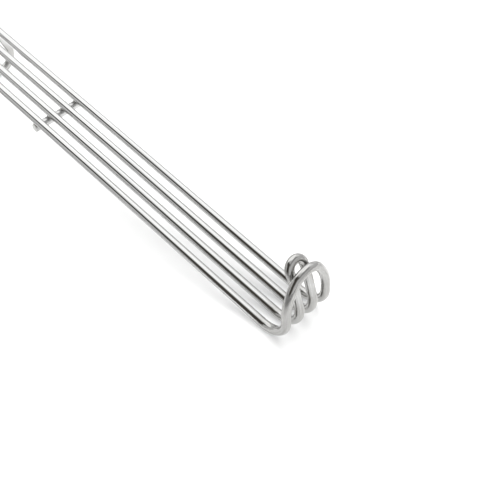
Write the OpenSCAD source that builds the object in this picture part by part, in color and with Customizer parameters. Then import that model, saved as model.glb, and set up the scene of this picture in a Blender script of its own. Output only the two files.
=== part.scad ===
// Test tube holder: a sloping rest for one tube, welded up from round stainless wire.
// Two long hairpins lie side by side as four parallel rails. Their closed ends turn up
// at the low end and stop the tube. Short rods cross under the rails, and a bent frame
// carries the high end and keeps the tube from rolling off.
// +X runs down the slope to the turned-up ends, +Y across the rails, +Z up.
// The origin is on the bench, under the middle of the holder.

/* [Wire] */
// Diameter of every wire and rod
wire_d = 3; // [2.5:0.1:4]
// Distance between the axes of neighbouring rails
rail_pitch = 5.75; // [5.25:0.05:6.5]
// Length of the straight rails, from the cut ends to the start of the upward bend
rail_len = 175; // [150:1:220]
// Slope of the rails above the bench, in degrees
slope = 9; // [6:0.5:15]
// Depth that a welded crossing sinks in
weld_sink = 0.25; // [0.1:0.05:0.4]

/* [Turned-up ends] */
// Centreline radius of the upward bend
bend_r = 8.5; // [6:0.1:10]
// Angle that the outer hairpin turns up through
outer_turn = 100.5; // [97:0.5:105]
// Straight stretch between the bend and the wide arch
outer_leg = 1.8; // [1:0.1:6]
// Height of the wide arch, from its springing to its crown
arch_h = 13.8; // [11.5:0.1:15]
// Radius of the crown of the wide arch
crown_r = 6.2; // [5:0.1:7.5]
// Angle that the inner hairpin turns up through
inner_turn = 114.5; // [112:0.5:118]
// Straight stretch of the inner hairpin above its bend
inner_leg = 9.6; // [6:0.1:12]
// Extra backward tilt of the narrow loop at the top of the inner hairpin
loop_tilt = 11; // [4:1:20]
// Centreline radius of that extra tilt
loop_tilt_r = 6; // [4:0.5:10]
// Straight stretch just under the narrow loop's half circle
loop_leg = 1.5; // [0.2:0.1:3]

/* [Cross rods] */
// Distance of the front rod from the start of the upward bend
front_rod_at = 109.5; // [80:1:120]
// Distance of the rear rod from the start of the upward bend
rear_rod_at = 172; // [140:1:173]

/* [Rear frame] */
// Distance of the frame from the start of the upward bend
frame_at = 167; // [130:1:168]
// Bend radius of the frame's corners
frame_r = 6; // [5:0.5:8]
// Angle that the legs spread outward, from the vertical
leg_splay = 20; // [15:1:40]
// Height of the side posts above the axes of the rails
post_h = 16; // [10:1:24]
// Length of the upright stretch below the axes of the rails
post_drop = 4; // [3:0.5:6]

/* [Welds] */
// Radius of the weld metal at a crossing
bead_r = 1.75; // [1.6:0.05:2.2]

/* [Bending marks] */
// Length of the faint mark that the bender's jaws leave where each bend begins or ends
mark_len = 0.2; // [0.1:0.05:0.4]
// Height of that mark above the wire
mark_h = 0.01; // [0.01:0.005:0.03]

/* [Hidden] */
$fn = 48;

wire_r = wire_d / 2;
outer_y = 1.5 * rail_pitch;
inner_y = 0.5 * rail_pitch;
rail_ys = [-outer_y, -inner_y, inner_y, outer_y];
// Distance between the axes of two wires that are welded where they cross
cross_gap = wire_d - weld_sink;
rod_len = 2 * outer_y + wire_d;

// The wide arch is a three-centred curve: two flank arcs meet the crown arc at a tangent
crown_rise = arch_h - crown_r;
flank_r = (crown_r ^ 2 - outer_y ^ 2 - crown_rise ^ 2) / (2 * (crown_r - outer_y));
flank_angle = atan2(crown_rise, flank_r - outer_y);
crown_angle = 180 - 2 * flank_angle;

// Height of the rails' axes above the bench where the upward bend starts
bend_start_z = (bend_r + wire_r) - bend_r * cos(slope);
// The holder's two ends along X, measured from the start of the bend
front_x = bend_r * sin(slope) + bend_r + wire_r;
rear_x = -rail_len * cos(slope) - wire_r * sin(slope);
mid_x = (front_x + rear_x) / 2;

// The frame stands upright where the rails have this X and this height
frame_x = -frame_at * cos(slope) - mid_x;
frame_rail_z = bend_start_z + frame_at * sin(slope);
post_y = outer_y + cross_gap;
post_len = post_h + post_drop;
leg_top_z = frame_rail_z - post_drop;
leg_len = (leg_top_z - wire_r - frame_r * (1 + 2 * sin(leg_splay))) / cos(leg_splay);
leg_reach = frame_r * (1 - cos(leg_splay)) + leg_len * sin(leg_splay);
foot_len = 2 * (post_y + leg_reach - frame_r * cos(leg_splay));

// Each line of a wire's plan is [feed, turn, bend, radius]: feed the wire straight, turn
// the bending plane about the wire, then bend it. The wire starts out along +Z.
outer_plan = [
    [rail_len, 180, outer_turn, bend_r],
    [outer_leg, -90, flank_angle, flank_r],
    [0, 0, crown_angle, crown_r],
    [0, 0, flank_angle, flank_r],
    [outer_leg, 90, outer_turn, bend_r],
    [rail_len, 0, 0, 0]
];
inner_plan = [
    [rail_len, 180, inner_turn, bend_r],
    [inner_leg, 0, loop_tilt, loop_tilt_r],
    [loop_leg, -90, 180, inner_y],
    [loop_leg, 90, loop_tilt, loop_tilt_r],
    [inner_leg, 0, inner_turn, bend_r],
    [rail_len, 0, 0, 0]
];
frame_plan = [
    [post_len, 90, leg_splay, frame_r],
    [leg_len, 180, 90 + leg_splay, frame_r],
    [foot_len, 0, 90 + leg_splay, frame_r],
    [leg_len, 180, leg_splay, frame_r],
    [post_len, 0, 0, 0]
];

// The faint ring round a wire where a bend begins or ends
module bending_mark() {
    cylinder(d = wire_d + 2 * mark_h, h = mark_len, center = true);
}

// A round wire bent step by step along its plan
module bent_wire(plan, step = 0) {
    if (step < len(plan)) {
        feed = plan[step][0];
        turn = plan[step][1];
        bend = plan[step][2];
        radius = plan[step][3];
        if (step > 0)
            bending_mark();
        if (feed > 0)
            cylinder(d = wire_d, h = feed);
        if (feed > 0 && bend > 0)
            translate([0, 0, feed])
                bending_mark();
        translate([0, 0, feed])
            rotate([0, 0, turn]) {
                if (bend > 0)
                    translate([radius, 0, 0])
                        rotate([90, 0, 180])
                            rotate_extrude(angle = bend)
                                translate([radius, 0])
                                    circle(d = wire_d);
                translate([radius, 0, 0])
                    rotate([0, bend, 0])
                        translate([-radius, 0, 0])
                            bent_wire(plan, step + 1);
            }
    }
}

// Puts the rails' own frame, whose X axis runs along them, on its slope over the bench
module on_slope() {
    translate([-mid_x, 0, bend_start_z])
        rotate([0, slope, 0])
            children();
}

// A hairpin whose first rail lies at -y
module hairpin(plan, y) {
    on_slope()
        translate([-rail_len, -y, 0])
            rotate([0, 90, 0])
                bent_wire(plan);
}

// The straight rails alone, as the cutters for the seats pressed into what crosses them
module straight_rails(ys) {
    on_slope()
        for (y = ys)
            translate([-rail_len, y, 0])
                rotate([0, 90, 0])
                    cylinder(d = wire_d, h = rail_len);
}

// A plain rod across the underside of the rails
module rod_blank(at) {
    on_slope()
        translate([-at, -rod_len / 2, -cross_gap])
            rotate([-90, 0, 0])
                cylinder(d = wire_d, h = rod_len);
}

// The frame before the rails are pressed into its posts
module frame_blank() {
    translate([frame_x, -post_y, frame_rail_z + post_h])
        rotate([180, 0, 0])
            bent_wire(frame_plan);
}

// Weld metal round each crossing of a cross rod with a rail
module rod_weld_beads(at) {
    difference() {
        on_slope()
            for (y = rail_ys)
                translate([-at, y, -cross_gap / 2])
                    sphere(r = bead_r);
        straight_rails(rail_ys);
        rod_blank(at);
    }
}

module outer_rail_wire() {
    color("silver")
        hairpin(outer_plan, outer_y);
}

module inner_rail_wire() {
    color("silver")
        hairpin(inner_plan, inner_y);
}

module front_cross_rod() {
    color("darkgray")
        difference() {
            rod_blank(front_rod_at);
            straight_rails(rail_ys);
        }
}

module rear_cross_rod() {
    color("darkgray")
        difference() {
            rod_blank(rear_rod_at);
            straight_rails(rail_ys);
        }
}

module rear_frame_wire() {
    color("silver")
        difference() {
            frame_blank();
            straight_rails([-outer_y, outer_y]);
        }
}

module front_rod_welds() {
    color("gray")
        rod_weld_beads(front_rod_at);
}

module rear_rod_welds() {
    color("gray")
        rod_weld_beads(rear_rod_at);
}

// Weld metal where the posts cross the outer rails
module frame_welds() {
    color("gray")
        difference() {
            for (side = [-1, 1])
                translate([frame_x, side * (outer_y + cross_gap / 2), frame_rail_z])
                    sphere(r = bead_r);
            straight_rails([-outer_y, outer_y]);
            frame_blank();
        }
}

outer_rail_wire();
inner_rail_wire();
front_cross_rod();
rear_cross_rod();
rear_frame_wire();
front_rod_welds();
rear_rod_welds();
frame_welds();
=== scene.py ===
# Test tube holder in polished stainless wire: a sloping rest with four rails, turned up
# at the low end, two cross rods and a bent rear frame, on a plain white table.
# +X runs down the slope to the turned-up ends, +Y across the rails, +Z up.
# The holder's own numbers are in millimetres, the studio's and the scene's in metres.
import math

import bmesh
import bpy
from mathutils import Matrix, Vector, noise


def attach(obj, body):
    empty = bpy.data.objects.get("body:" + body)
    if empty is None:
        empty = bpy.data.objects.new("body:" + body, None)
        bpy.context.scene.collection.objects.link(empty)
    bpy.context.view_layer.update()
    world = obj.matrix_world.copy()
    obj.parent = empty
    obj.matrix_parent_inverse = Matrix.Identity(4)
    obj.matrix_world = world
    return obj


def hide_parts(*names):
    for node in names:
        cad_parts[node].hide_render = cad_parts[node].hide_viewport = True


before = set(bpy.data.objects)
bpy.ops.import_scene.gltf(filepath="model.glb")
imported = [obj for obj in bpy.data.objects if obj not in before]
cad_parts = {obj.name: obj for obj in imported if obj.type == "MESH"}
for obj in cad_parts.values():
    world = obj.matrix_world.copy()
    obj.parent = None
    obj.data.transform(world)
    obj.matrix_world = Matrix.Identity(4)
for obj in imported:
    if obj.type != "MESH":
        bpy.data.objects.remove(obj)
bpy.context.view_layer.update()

MM = 0.001

# ---------------------------------------------------------------- the holder's dimensions
# Millimetres and degrees, the same values as in the CAD source.
WIRE_R = 1.5
OUTER_Y = 8.625
INNER_Y = 2.875
RAIL_YS = (-OUTER_Y, -INNER_Y, INNER_Y, OUTER_Y)
RAIL_LEN = 175.0
SLOPE = 9.0
CROSS_GAP = 2.75
BEND_R = 8.5
OUTER_TURN, OUTER_LEG = 100.5, 1.8
ARCH_H, CROWN_R = 13.8, 6.2
INNER_TURN, INNER_LEG = 114.5, 9.6
LOOP_TILT, LOOP_TILT_R, LOOP_LEG = 11.0, 6.0, 1.5
FRONT_ROD_AT, REAR_ROD_AT, FRAME_AT = 109.5, 172.0, 167.0
ROD_LEN = 2 * OUTER_Y + 2 * WIRE_R
FRAME_R, LEG_SPLAY, POST_H, POST_DROP = 6.0, 20.0, 16.0, 4.0

SLOPE_COS = math.cos(math.radians(SLOPE))
SLOPE_SIN = math.sin(math.radians(SLOPE))
BEND_START_Z = BEND_R + WIRE_R - BEND_R * SLOPE_COS
FRONT_X = BEND_R * SLOPE_SIN + BEND_R + WIRE_R
REAR_X = -RAIL_LEN * SLOPE_COS - WIRE_R * SLOPE_SIN
MID_X = (FRONT_X + REAR_X) / 2

CROWN_RISE = ARCH_H - CROWN_R
FLANK_R = (CROWN_R**2 - OUTER_Y**2 - CROWN_RISE**2) / (2 * (CROWN_R - OUTER_Y))
FLANK_ANGLE = math.degrees(math.atan2(CROWN_RISE, FLANK_R - OUTER_Y))

FRAME_X = -FRAME_AT * SLOPE_COS - MID_X
FRAME_RAIL_Z = BEND_START_Z + FRAME_AT * SLOPE_SIN
POST_Y = OUTER_Y + CROSS_GAP
POST_LEN = POST_H + POST_DROP
SPLAY_COS = math.cos(math.radians(LEG_SPLAY))
SPLAY_SIN = math.sin(math.radians(LEG_SPLAY))
LEG_DROP = FRAME_RAIL_Z - POST_DROP - WIRE_R - FRAME_R * (1 + 2 * SPLAY_SIN)
LEG_LEN = LEG_DROP / SPLAY_COS
LEG_REACH = FRAME_R * (1 - SPLAY_COS) + LEG_LEN * SPLAY_SIN
FOOT_LEN = 2 * (POST_Y + LEG_REACH - FRAME_R * SPLAY_COS)

# Each step of a plan is (feed, turn of the bending plane, bend, radius)
OUTER_PLAN = (
    (RAIL_LEN, 180, OUTER_TURN, BEND_R),
    (OUTER_LEG, -90, FLANK_ANGLE, FLANK_R),
    (0, 0, 180 - 2 * FLANK_ANGLE, CROWN_R),
    (0, 0, FLANK_ANGLE, FLANK_R),
    (OUTER_LEG, 90, OUTER_TURN, BEND_R),
    (RAIL_LEN, 0, 0, 0),
)
INNER_PLAN = (
    (RAIL_LEN, 180, INNER_TURN, BEND_R),
    (INNER_LEG, 0, LOOP_TILT, LOOP_TILT_R),
    (LOOP_LEG, -90, 180, INNER_Y),
    (LOOP_LEG, 90, LOOP_TILT, LOOP_TILT_R),
    (INNER_LEG, 0, INNER_TURN, BEND_R),
    (RAIL_LEN, 0, 0, 0),
)
FRAME_PLAN = (
    (POST_LEN, 90, LEG_SPLAY, FRAME_R),
    (LEG_LEN, 180, 90 + LEG_SPLAY, FRAME_R),
    (FOOT_LEN, 0, 90 + LEG_SPLAY, FRAME_R),
    (LEG_LEN, 180, LEG_SPLAY, FRAME_R),
    (POST_LEN, 0, 0, 0),
)
ROD_PLAN = ((ROD_LEN, 0, 0, 0),)


def moved(x, y, z):
    return Matrix.Translation((x, y, z))


def turned(degrees, axis):
    return Matrix.Rotation(math.radians(degrees), 4, axis)


# The rails' own frame, X along them, on its slope over the bench
ON_SLOPE = moved(-MID_X, 0, BEND_START_Z) @ turned(SLOPE, "Y")


def rail_start(y):
    """The cut end of the rail at y, with Z along it."""
    return ON_SLOPE @ moved(-RAIL_LEN, y, 0) @ turned(90, "Y")


def rod_start(at):
    """The -Y end of the rod that crosses under the rails at that distance from their bend."""
    return ON_SLOPE @ moved(-at, -ROD_LEN / 2, -CROSS_GAP) @ turned(-90, "X")


FRAME_START = moved(FRAME_X, -POST_Y, FRAME_RAIL_Z + POST_H) @ turned(180, "X")


def rod_welds(at):
    """The middles of a cross rod's four crossings with the rails."""
    return [ON_SLOPE @ Vector((-at, y, -CROSS_GAP / 2)) for y in RAIL_YS]


FRONT_WELDS = rod_welds(FRONT_ROD_AT)
REAR_WELDS = rod_welds(REAR_ROD_AT)
POST_WELDS = [
    Vector((FRAME_X, side * (OUTER_Y + CROSS_GAP / 2), FRAME_RAIL_Z)) for side in (-1, 1)
]


# ---------------------------------------------------------------- objects
def add_object(name, data):
    obj = bpy.data.objects.new(name, data)
    bpy.context.scene.collection.objects.link(obj)
    return obj


def bmesh_object(name, bm):
    mesh = bpy.data.meshes.new(name)
    bm.to_mesh(mesh)
    bm.free()
    return add_object(name, mesh)


def shade_smooth(obj):
    for polygon in obj.data.polygons:
        polygon.use_smooth = True


# ---------------------------------------------------------------- wires as swept meshes
ROUND = 48  # vertices round a wire
STRAIGHT_STEP = 2.5  # longest ring spacing on a straight stretch, mm
BEND_STEP = 4.0  # longest ring spacing in a bend, degrees
WORK_REACH = 5.0  # how far the bending tools dull the wire beyond a bend, mm
HEAT_REACH = 3.2  # how far a weld's heat tints the wire, mm
CHAMFER = 0.22  # broken edge of a cut end, mm

# A cut end's rings, from its middle outward: (share of the wire's radius, depth in mm)
END_PROFILE = (
    (0.30, 0.0),
    (0.62, 0.0),
    (1 - CHAMFER / WIRE_R, 0.0),
    (1 - 0.35 * CHAMFER / WIRE_R, 0.35 * CHAMFER),
)
# What a cut face and its broken edge carry as "worked", where a bend carries 1
CUT_FACE, BROKEN_EDGE = 2.0, 0.4
# How far a cut face and its broken edge lean, mm
FACE_LEAN, EDGE_LEAN = 0.05, 0.02
# What moves each wire's noise away from that of the wire before it, mm
NOISE_STEP = (7.13, 3.71, 1.37)


def wire_rings(start, plan):
    """Rings along the wire: (place with Z along it, length so far)."""
    here, run = start, 0.0
    rings = [(here, run)]
    for feed, turn, bend, radius in plan:
        if feed:
            steps = max(1, math.ceil(feed / STRAIGHT_STEP))
            for i in range(1, steps + 1):
                part = feed * i / steps
                rings.append((here @ moved(0, 0, part), run + part))
            here, run = rings[-1]
        if bend:
            centre = here @ turned(turn, "Z") @ moved(radius, 0, 0)
            steps = max(2, math.ceil(bend / BEND_STEP))
            for i in range(1, steps + 1):
                part = bend * i / steps
                ring = centre @ turned(part, "Y") @ moved(-radius, 0, 0)
                rings.append((ring, run + math.radians(part) * radius))
            here, run = rings[-1]
    return rings


def untwisted(rings):
    """The rings as (axes, centre, length so far), none turned about the wire."""
    out = []
    x = rings[0][0].to_3x3().col[0].normalized()
    for ring, run in rings:
        z = ring.to_3x3().col[2].normalized()
        x = (x - z * x.dot(z)).normalized()
        axes = Matrix((x, z.cross(x), z)).transposed()
        out.append((axes, ring.to_translation(), run))
    return out


def bend_runs(plan):
    """Where each bend begins and ends, as lengths along the wire."""
    runs, at = [], 0.0
    for feed, _, bend, radius in plan:
        at += feed
        if bend:
            end = at + math.radians(bend) * radius
            runs.append((at, end))
            at = end
    return runs


def worked_amount(run, bends):
    """1 in a bend, falling to 0 over the reach of the tools on either side of it."""
    away = min((max(a - run, run - b, 0.0) for a, b in bends), default=math.inf)
    t = max(0.0, 1 - away / WORK_REACH)
    return t * t * (3 - 2 * t)


def tube_faces(last):
    """Faces from vertex 0 over the rings to vertex last, which close the two ends."""
    around = [(k, (k + 1) % ROUND) for k in range(ROUND)]
    ring_starts = range(1, last, ROUND)
    faces = [(0, 1 + k2, 1 + k) for k, k2 in around]
    for a, b in zip(ring_starts, ring_starts[1:]):
        faces += [(a + k, a + k2, b + k2, b + k) for k, k2 in around]
    faces += [(ring_starts[-1] + k, ring_starts[-1] + k2, last) for k, k2 in around]
    return faces


def sweep(name, start, plan, seed, welds):
    """A round wire swept along its plan, with broken edges and sheared faces at its ends.

    Each vertex carries its place on the unbent wire, how worked the wire is there, and
    how much the heat of the welds reached it, for the steel's shader.
    """
    rings = untwisted(wire_rings(start, plan))
    bends = bend_runs(plan)
    drift = Vector([seed * step for step in NOISE_STEP])
    verts, unbent, worked, heat = [], [], [], []

    def add_middle(ring):
        _, centre, run = ring
        verts.append(centre * MM)
        unbent.append(Vector((run, 0, 0)) + drift)
        worked.append(CUT_FACE)
        heat.append(0.0)

    def add_ring(ring, inset, scale, work, lean=0.0):
        axes, centre, run = ring
        for k in range(ROUND):
            angle = 2 * math.pi * k / ROUND
            across = (WIRE_R * scale * math.cos(angle), WIRE_R * scale * math.sin(angle))
            tip = lean * math.sin(angle + seed)
            p = centre + axes @ Vector((0, 0, inset)) + axes @ Vector((*across, tip))
            verts.append(p * MM)
            unbent.append(Vector((run + inset, *across)) + drift)
            worked.append(work)
            heat.append(max(math.exp(-(((p - w).length / HEAT_REACH) ** 2)) for w in welds))

    def add_end(ring, profile, inward):
        for scale, depth in profile:
            if depth == 0:
                add_ring(ring, 0, scale, CUT_FACE, FACE_LEAN)
            else:
                add_ring(ring, inward * depth, scale, BROKEN_EDGE, EDGE_LEAN)

    insets = [CHAMFER] + [0.0] * (len(rings) - 2) + [-CHAMFER]
    add_middle(rings[0])
    add_end(rings[0], END_PROFILE, 1)
    for ring, inset in zip(rings, insets):
        add_ring(ring, inset, 1.0, worked_amount(ring[2] + inset, bends))
    add_end(rings[-1], reversed(END_PROFILE), -1)
    add_middle(rings[-1])

    mesh = bpy.data.meshes.new(name)
    mesh.from_pydata(verts, [], tube_faces(len(verts) - 1))
    mesh.update()
    straight = mesh.attributes.new("straight", "FLOAT_VECTOR", "POINT")
    straight.data.foreach_set("vector", [value for v in unbent for value in v])
    for label, values in (("worked", worked), ("heat", heat)):
        mesh.attributes.new(label, "FLOAT", "POINT").data.foreach_set("value", values)
    obj = add_object(name, mesh)
    shade_smooth(obj)
    return obj


# ---------------------------------------------------------------- shader helpers
def new_material(name):
    material = bpy.data.materials.new(name)
    material.use_nodes = True
    return material, material.node_tree, material.node_tree.nodes["Principled BSDF"]


def bare_material(name):
    """A material with its output alone; returns its surface socket as well."""
    material = bpy.data.materials.new(name)
    material.use_nodes = True
    tree = material.node_tree
    tree.nodes.clear()
    return material, tree, tree.nodes.new("ShaderNodeOutputMaterial").inputs["Surface"]


def link(tree, a, b):
    tree.links.new(a, b)


def math_node(tree, op, *values, clamp=False):
    node = tree.nodes.new("ShaderNodeMath")
    node.operation = op
    node.use_clamp = clamp
    for socket, v in zip(node.inputs, values):
        if isinstance(v, (int, float)):
            socket.default_value = v
        else:
            link(tree, v, socket)
    return node.outputs[0]


def mix_colour(tree, factor, a, b):
    """From a to b; a is a colour or a socket, b a colour."""
    node = tree.nodes.new("ShaderNodeMix")
    node.data_type = "RGBA"
    link(tree, factor, node.inputs[0])
    if isinstance(a, tuple):
        node.inputs[6].default_value = (*a, 1)
    else:
        link(tree, a, node.inputs[6])
    node.inputs[7].default_value = (*b, 1)
    return node.outputs[2]


def map_range(tree, value, lo, hi, to_lo, to_hi):
    node = tree.nodes.new("ShaderNodeMapRange")
    node.interpolation_type = "SMOOTHSTEP"
    link(tree, value, node.inputs[0])
    for i, v in enumerate((lo, hi, to_lo, to_hi)):
        node.inputs[i + 1].default_value = v
    return node.outputs[0]


def noise_tex(tree, vector, scale, detail, rough, stretch=None):
    node = tree.nodes.new("ShaderNodeTexNoise")
    node.inputs["Scale"].default_value = scale
    node.inputs["Detail"].default_value = detail
    node.inputs["Roughness"].default_value = rough
    if stretch:
        mapping = tree.nodes.new("ShaderNodeMapping")
        mapping.inputs["Scale"].default_value = stretch
        link(tree, vector, mapping.inputs["Vector"])
        vector = mapping.outputs[0]
    link(tree, vector, node.inputs["Vector"])
    return node.outputs["Fac"]


def attribute(tree, name, output="Fac"):
    node = tree.nodes.new("ShaderNodeAttribute")
    node.attribute_name = name
    return node.outputs[output]


def object_coordinates(tree):
    return tree.nodes.new("ShaderNodeTexCoord").outputs["Object"]


def bump(tree, height, distance, strength=1.0):
    node = tree.nodes.new("ShaderNodeBump")
    node.inputs["Strength"].default_value = strength
    node.inputs["Distance"].default_value = distance
    link(tree, height, node.inputs["Height"])
    return node.outputs[0]


# ---------------------------------------------------------------- steel and weld metal
STEEL = (0.58, 0.58, 0.575)
STEEL_BENT = (0.472, 0.468, 0.459)
STEEL_RUBBED = (0.395, 0.390, 0.376)
STEEL_LINES = (0.40, 0.40, 0.40)
STEEL_HEATED = (0.42, 0.34, 0.24)
STEEL_SHEARED = (0.74, 0.74, 0.73)
WELD_DARK = (0.32, 0.31, 0.30)
WELD_STRAW = (0.40, 0.37, 0.33)

# Noise cells per mm along the wire and across it
DRAWN_LINES = (0.10, 7.0, 7.0)
FINE_LINES = (0.5, 22.0, 22.0)
RUB_MARKS = (0.14, 1.7, 1.7)
CLOUD_CELLS, PEEL_CELLS = 0.35, 5.5

# Roughness of a plain wire, and what each kind of wear adds to it
RAIL_ROUGH, ROD_ROUGH = 0.055, 0.27
BENT_ROUGH = 0.03
RUBBED_ROUGH = 0.05
LINES_ROUGH = 0.035
HEATED_ROUGH = 0.10
SHEARED_ROUGH = 0.45

# Depth of the relief, mm
LINES_DEPTH, PEEL_DEPTH, CLOUD_DEPTH = 0.002, 0.006, 0.10

# Weld metal: noise cells per metre, and depth of its relief in mm
LUMP_CELLS, TINT_CELLS = 900.0, 260.0
LUMP_DEPTH = 0.1


def wire_material(name, plain_rough):
    """Drawn and polished stainless wire: fine lines along it, satin where it was bent."""
    material, tree, bsdf = new_material(name)
    straight = attribute(tree, "straight", "Vector")
    worked = attribute(tree, "worked")
    heat = attribute(tree, "heat")
    lines = noise_tex(tree, straight, 1.0, 4, 0.6, DRAWN_LINES)
    fine = noise_tex(tree, straight, 1.0, 2, 0.5, FINE_LINES)
    marks = noise_tex(tree, straight, 1.0, 4, 0.65, RUB_MARKS)
    cloud = noise_tex(tree, straight, CLOUD_CELLS, 3, 0.5)
    peel = noise_tex(tree, straight, PEEL_CELLS, 3, 0.55)

    # The face of a cut end carries 2, a bend 1, a straight run 0
    cut = map_range(tree, worked, 1.2, 1.8, 0, 1)
    satin = math_node(tree, "MINIMUM", worked, 1.0)
    patchy = math_node(tree, "MULTIPLY", satin, map_range(tree, cloud, 0.3, 0.7, 0.75, 1.0))
    rubbed = math_node(tree, "MULTIPLY", satin, map_range(tree, marks, 0.38, 0.66, 0, 1))

    colour = mix_colour(tree, patchy, STEEL, STEEL_BENT)
    colour = mix_colour(tree, math_node(tree, "MULTIPLY", rubbed, 0.8), colour, STEEL_RUBBED)
    colour = mix_colour(tree, map_range(tree, lines, 0.35, 0.75, 0.0, 0.18), colour, STEEL_LINES)
    colour = mix_colour(tree, math_node(tree, "MULTIPLY", heat, 0.35), colour, STEEL_HEATED)
    colour = mix_colour(tree, cut, colour, STEEL_SHEARED)
    link(tree, colour, bsdf.inputs["Base Color"])

    drawn = map_range(tree, fine, 0.3, 0.7, 0, 1)
    rough = math_node(tree, "MULTIPLY_ADD", patchy, BENT_ROUGH, plain_rough)
    rough = math_node(tree, "MULTIPLY_ADD", rubbed, RUBBED_ROUGH, rough)
    rough = math_node(tree, "MULTIPLY_ADD", drawn, LINES_ROUGH, rough)
    rough = math_node(tree, "MULTIPLY_ADD", heat, HEATED_ROUGH, rough)
    rough = math_node(tree, "MULTIPLY_ADD", cut, SHEARED_ROUGH, rough, clamp=True)
    link(tree, rough, bsdf.inputs["Roughness"])
    link(tree, map_range(tree, cut, 0, 1, 1.0, 0.45), bsdf.inputs["Metallic"])

    bent_peel = math_node(tree, "MULTIPLY", peel, satin)
    bent_cloud = math_node(tree, "MULTIPLY", cloud, satin)
    height = math_node(tree, "MULTIPLY", lines, LINES_DEPTH)
    height = math_node(tree, "MULTIPLY_ADD", bent_peel, PEEL_DEPTH, height)
    height = math_node(tree, "MULTIPLY_ADD", bent_cloud, CLOUD_DEPTH, height)
    link(tree, bump(tree, height, MM), bsdf.inputs["Normal"])
    return material


def weld_material():
    """Solidified spatter: darker, rough and faintly straw-coloured from the heat."""
    material, tree, bsdf = new_material("weld_metal")
    coordinates = object_coordinates(tree)
    lumps = noise_tex(tree, coordinates, LUMP_CELLS, 4, 0.6)
    tint = map_range(tree, noise_tex(tree, coordinates, TINT_CELLS, 2, 0.5), 0.35, 0.7, 0, 1)
    link(tree, mix_colour(tree, tint, WELD_DARK, WELD_STRAW), bsdf.inputs["Base Color"])
    link(tree, map_range(tree, lumps, 0.3, 0.7, 0.28, 0.5), bsdf.inputs["Roughness"])
    bsdf.inputs["Metallic"].default_value = 1.0
    link(tree, bump(tree, lumps, LUMP_DEPTH * MM, strength=0.4), bsdf.inputs["Normal"])
    return material


# ---------------------------------------------------------------- pieces
BEAD_HALF_SIZE = (1.52, 1.36, 0.95)  # along the rail, along the rod, across the gap, mm
BEAD_LUMPS = 0.09  # how far the lumps stand out, as a share of the bead's size
LUMP_SPREAD = 2.2  # how closely the lumps lie


def weld_beads(name, centres, axes, seed):
    """Flattened, lumpy beads squeezed out at each crossing; axes has Z across the gap."""
    bm = bmesh.new()
    for i, centre in enumerate(centres):
        # Its own part of the noise gives each bead its own lumps
        drift = Vector((seed * 5.1 + i * 3.3, i * 1.7, seed))
        for v in bmesh.ops.create_icosphere(bm, subdivisions=5, radius=1.0)["verts"]:
            out = v.co.normalized()
            lump = 1 + BEAD_LUMPS * noise.fractal(out * LUMP_SPREAD + drift, 1.0, 2.0, 3)
            p = Vector([a * b for a, b in zip(out, BEAD_HALF_SIZE)]) * lump
            v.co = (centre + axes @ p) * MM
    obj = bmesh_object(name, bm)
    shade_smooth(obj)
    return obj


def place(obj, node, material):
    """Gives a piece its finish, and puts it in the stead of its CAD node."""
    obj.data.materials.append(material)
    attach(obj, "root")
    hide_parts(node)


RAIL_FINISH = wire_material("rail_steel", RAIL_ROUGH)
ROD_FINISH = wire_material("rod_steel", ROD_ROUGH)
FRAME_FINISH = wire_material("frame_steel", RAIL_ROUGH)
WELD_FINISH = weld_material()

outer_rail = sweep(
    "outer_rail", rail_start(-OUTER_Y), OUTER_PLAN, 1, FRONT_WELDS + REAR_WELDS + POST_WELDS
)
inner_rail = sweep("inner_rail", rail_start(-INNER_Y), INNER_PLAN, 2, FRONT_WELDS + REAR_WELDS)
front_rod = sweep("front_rod", rod_start(FRONT_ROD_AT), ROD_PLAN, 3, FRONT_WELDS)
rear_rod = sweep("rear_rod", rod_start(REAR_ROD_AT), ROD_PLAN, 4, REAR_WELDS)
rear_frame = sweep("rear_frame", FRAME_START, FRAME_PLAN, 5, POST_WELDS)
place(outer_rail, "outer_rail_wire", RAIL_FINISH)
place(inner_rail, "inner_rail_wire", RAIL_FINISH)
place(front_rod, "front_cross_rod", ROD_FINISH)
place(rear_rod, "rear_cross_rod", ROD_FINISH)
place(rear_frame, "rear_frame_wire", FRAME_FINISH)

SLOPE_AXES = turned(SLOPE, "Y").to_3x3()
SIDE_AXES = turned(90, "X").to_3x3()
front_beads = weld_beads("front_welds", FRONT_WELDS, SLOPE_AXES, 1)
rear_beads = weld_beads("rear_welds", REAR_WELDS, SLOPE_AXES, 2)
post_beads = weld_beads("post_welds", POST_WELDS, SIDE_AXES, 3)
place(front_beads, "front_rod_welds", WELD_FINISH)
place(rear_beads, "rear_rod_welds", WELD_FINISH)
place(post_beads, "frame_welds", WELD_FINISH)

# ---------------------------------------------------------------- table and backdrop
TABLE_WIDTH = 6.0
BACKDROP_R, BACKDROP_BOTTOM = 2.9, -0.5
TABLE_WHITE = (0.57, 0.57, 0.565)
TABLE_GLOW = (0.985, 0.99, 1.0)
# The table's glow near the holder and far from it, and how far off each is reached
NEAR_GLOW, FAR_GLOW = 0.33, 0.8
NEAR_AT, FAR_AT = 0.5, 1.6


def plane(name, width, height, material):
    """A flat rectangle of the stage, about its own middle."""
    bm = bmesh.new()
    bmesh.ops.create_grid(bm, x_segments=1, y_segments=1, size=0.5)
    for v in bm.verts:
        v.co = Vector((v.co.x * width, v.co.y * height, 0))
    obj = bmesh_object(name, bm)
    obj.data.materials.append(material)
    return obj


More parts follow.
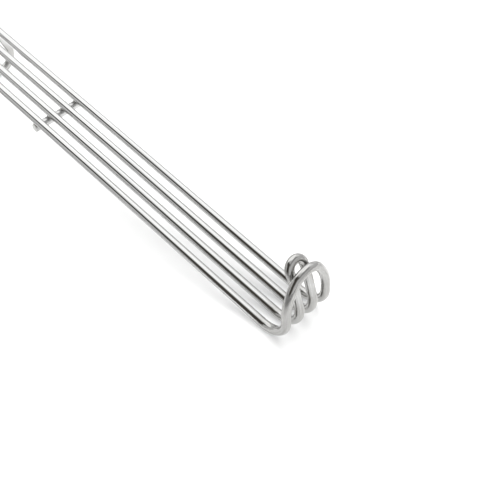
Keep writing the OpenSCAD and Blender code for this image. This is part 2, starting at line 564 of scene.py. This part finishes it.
def white_table():
    """The table: over-exposed, with a glow that takes over where the lamps don't reach."""
    material, tree, bsdf = new_material("white_table")
    bsdf.inputs["Base Color"].default_value = (*TABLE_WHITE, 1)
    bsdf.inputs["Roughness"].default_value = 0.9
    bsdf.inputs["Specular IOR Level"].default_value = 0.0
    bsdf.inputs["Emission Color"].default_value = (*TABLE_GLOW, 1)
    away = tree.nodes.new("ShaderNodeVectorMath")
    away.operation = "LENGTH"
    link(tree, object_coordinates(tree), away.inputs[0])
    glow = map_range(tree, away.outputs["Value"], NEAR_AT, FAR_AT, NEAR_GLOW, FAR_GLOW)
    link(tree, glow, bsdf.inputs["Emission Strength"])
    plane("table", TABLE_WIDTH, TABLE_WIDTH, material)


def white_backdrop():
    """A white dome that only the camera sees, so that low views have no horizon line."""
    material, tree, surface = bare_material("white_backdrop")
    glow = tree.nodes.new("ShaderNodeEmission")
    glow.inputs["Strength"].default_value = 1.0
    link(tree, glow.outputs[0], surface)
    bm = bmesh.new()
    bmesh.ops.create_icosphere(bm, subdivisions=4, radius=BACKDROP_R)
    unseen = [v for v in bm.verts if v.co.z < BACKDROP_BOTTOM]
    bmesh.ops.delete(bm, geom=unseen, context="VERTS")
    obj = bmesh_object("backdrop", bm)
    obj.data.materials.append(material)
    obj.visible_diffuse = False
    obj.visible_glossy = False
    obj.visible_shadow = False


white_table()
white_backdrop()

# ---------------------------------------------------------------- lights
STUDIO_AIM = Vector((0.02, 0.0, 0.015))
WORLD_RADIANCE = 0.78
WHITE = (1.0, 1.0, 1.0)
WARM_DARK = (1.0, 0.90, 0.78)


def facing(azimuth, elevation, distance):
    """A place that faces the holder: azimuth from +X toward +Y, in degrees."""
    a, e = math.radians(azimuth), math.radians(elevation)
    out = Vector((math.cos(a) * math.cos(e), math.sin(a) * math.cos(e), math.sin(e)))
    aim = out.to_track_quat("Z", "Y").to_matrix().to_4x4()
    return Matrix.Translation(STUDIO_AIM + out * distance) @ aim


def softbox(name, at, width, height, radiance):
    """A soft light that shines on everything, but shows in no reflection."""
    data = bpy.data.lights.new(name, "AREA")
    data.shape = "RECTANGLE"
    data.size = width
    data.size_y = height
    data.energy = radiance * math.pi * width * height
    obj = add_object(name, data)
    obj.matrix_world = at
    obj.visible_camera = False
    obj.visible_glossy = False


def panel(name, at, width, height, radiance, feathers, tint=WHITE, most=1.0):
    """A glowing panel with soft edges that shows only as a reflection in the steel: a painted
    reflection.

    It hides the share most of what is behind its middle, and nothing behind its edges.
    """
    material, tree, surface = bare_material(name)
    split = tree.nodes.new("ShaderNodeSeparateXYZ")
    link(tree, object_coordinates(tree), split.inputs[0])
    cover = most
    for axis, half, feather in zip(split.outputs, (width / 2, height / 2), feathers):
        away = math_node(tree, "ABSOLUTE", axis)
        inside = map_range(tree, away, half - feather, half, 1, 0)
        cover = math_node(tree, "MULTIPLY", inside, cover)
    glow = tree.nodes.new("ShaderNodeEmission")
    glow.inputs["Strength"].default_value = radiance
    glow.inputs["Color"].default_value = (*tint, 1)
    mix = tree.nodes.new("ShaderNodeMixShader")
    link(tree, cover, mix.inputs[0])
    link(tree, tree.nodes.new("ShaderNodeBsdfTransparent").outputs[0], mix.inputs[1])
    link(tree, glow.outputs[0], mix.inputs[2])
    link(tree, mix.outputs[0], surface)
    obj = plane(name, width, height, material)
    obj.matrix_world = at
    obj.visible_camera = False
    obj.visible_diffuse = False
    obj.visible_shadow = False


# The light comes from above and from the +Y side, so the shadows fall toward -Y.
# Each has its place, width, height and radiance
softbox("key_softbox", facing(115, 48, 1.80), 1.70, 1.70, 3.6)
softbox("overhead_softbox", facing(115, 72, 1.60), 2.20, 2.20, 1.9)

# Painted reflections: the bright and the dark bands that the steel reflects. The dark room on the
# -Y side is only painted this way.
# Each has its place, width, height, radiance and the widths of its soft edges
panel("main_softbox", facing(160, 47, 0.70), 1.10, 0.64, 1.72, (0.07, 0.08))
panel("top_softbox", facing(120, 76, 0.66), 0.60, 0.52, 1.65, (0.12, 0.12))
panel("side_cloth", facing(102, 42, 0.90), 1.16, 0.90, 1.20, (0.45, 0.30))
panel("lit_wall", facing(122, 8, 0.98), 1.3, 0.5, 1.05, (0.25, 0.25))
panel("dark_room", facing(-85, 31, 0.55), 0.64, 0.92, 0.08, (0.13, 0.16), WARM_DARK)
panel("dark_gap", facing(-126, 47, 0.56), 0.34, 0.34, 0.06, (0.05, 0.10), WARM_DARK)
panel("grey_ceiling", facing(12, 62, 0.64), 1.0, 0.42, 0.38, (0.15, 0.15))

# Further off, grey panels just over the table show only in the steel: a painted reflection of
# a table that falls away into grey
DIM_Z = 0.0005
DIM_SIZE, DIM_FEATHERS = (1.2, 0.62), (0.2, 0.072)
panel("dim_table_reflection_front", moved(0.0, -0.32, DIM_Z), *DIM_SIZE, 0.38, DIM_FEATHERS)
panel("dim_table_reflection_back", moved(-0.42, 0.33, DIM_Z), *DIM_SIZE, 0.50, DIM_FEATHERS)

# Thin dark veils, which show only in the steel, paint shade onto its reflection of the
# over-exposed table, so that the table doesn't whiten the steel. They begin beside the
# nearest rail and just past the turned-up ends, and leave out the table under the holder
VEIL_Z = 0.0002
VEIL_DEPTH, VEIL_COVER = 0.6, 0.17
panel("side_veil", moved(0.0, -0.31, VEIL_Z), 1.2, VEIL_DEPTH, 0.0, (0.05, 0.004), most=VEIL_COVER)
panel("end_veil", moved(0.344, 0.29, VEIL_Z), 0.5, VEIL_DEPTH, 0.0, (0.012, 0.004), most=VEIL_COVER)

world = bpy.data.worlds.new("white_tent")
world.use_nodes = True
background = world.node_tree.nodes["Background"]
background.inputs["Color"].default_value = (*WHITE, 1)
background.inputs["Strength"].default_value = WORLD_RADIANCE
bpy.context.scene.world = world
bpy.context.scene.view_settings.view_transform = "Standard"

# ---------------------------------------------------------------- camera
# The photo's viewpoint, in degrees: azimuth from -Y toward +X
AZIMUTH, ELEVATION, ROLL = 45.83, 48.33, -1.96
AIM = Vector((63.24, 4.46, 10.0)) * MM
DISTANCE = 265.52 * MM
SENSOR_WIDTH, LENS = 36.0, 61.24


def add_camera():
    a, e = math.radians(AZIMUTH), math.radians(ELEVATION)
    back = Vector((math.sin(a) * math.cos(e), -math.cos(a) * math.cos(e), math.sin(e)))
    upright = back.to_track_quat("Z", "Y").to_matrix().to_4x4()
    data = bpy.data.cameras.new("camera")
    data.sensor_width = SENSOR_WIDTH
    data.lens = LENS
    data.clip_start = 0.01
    data.clip_end = 20.0
    camera = add_object("camera", data)
    camera.matrix_world = Matrix.Translation(AIM + back * DISTANCE) @ upright @ turned(ROLL, "Z")
    bpy.context.scene.camera = camera


add_camera()
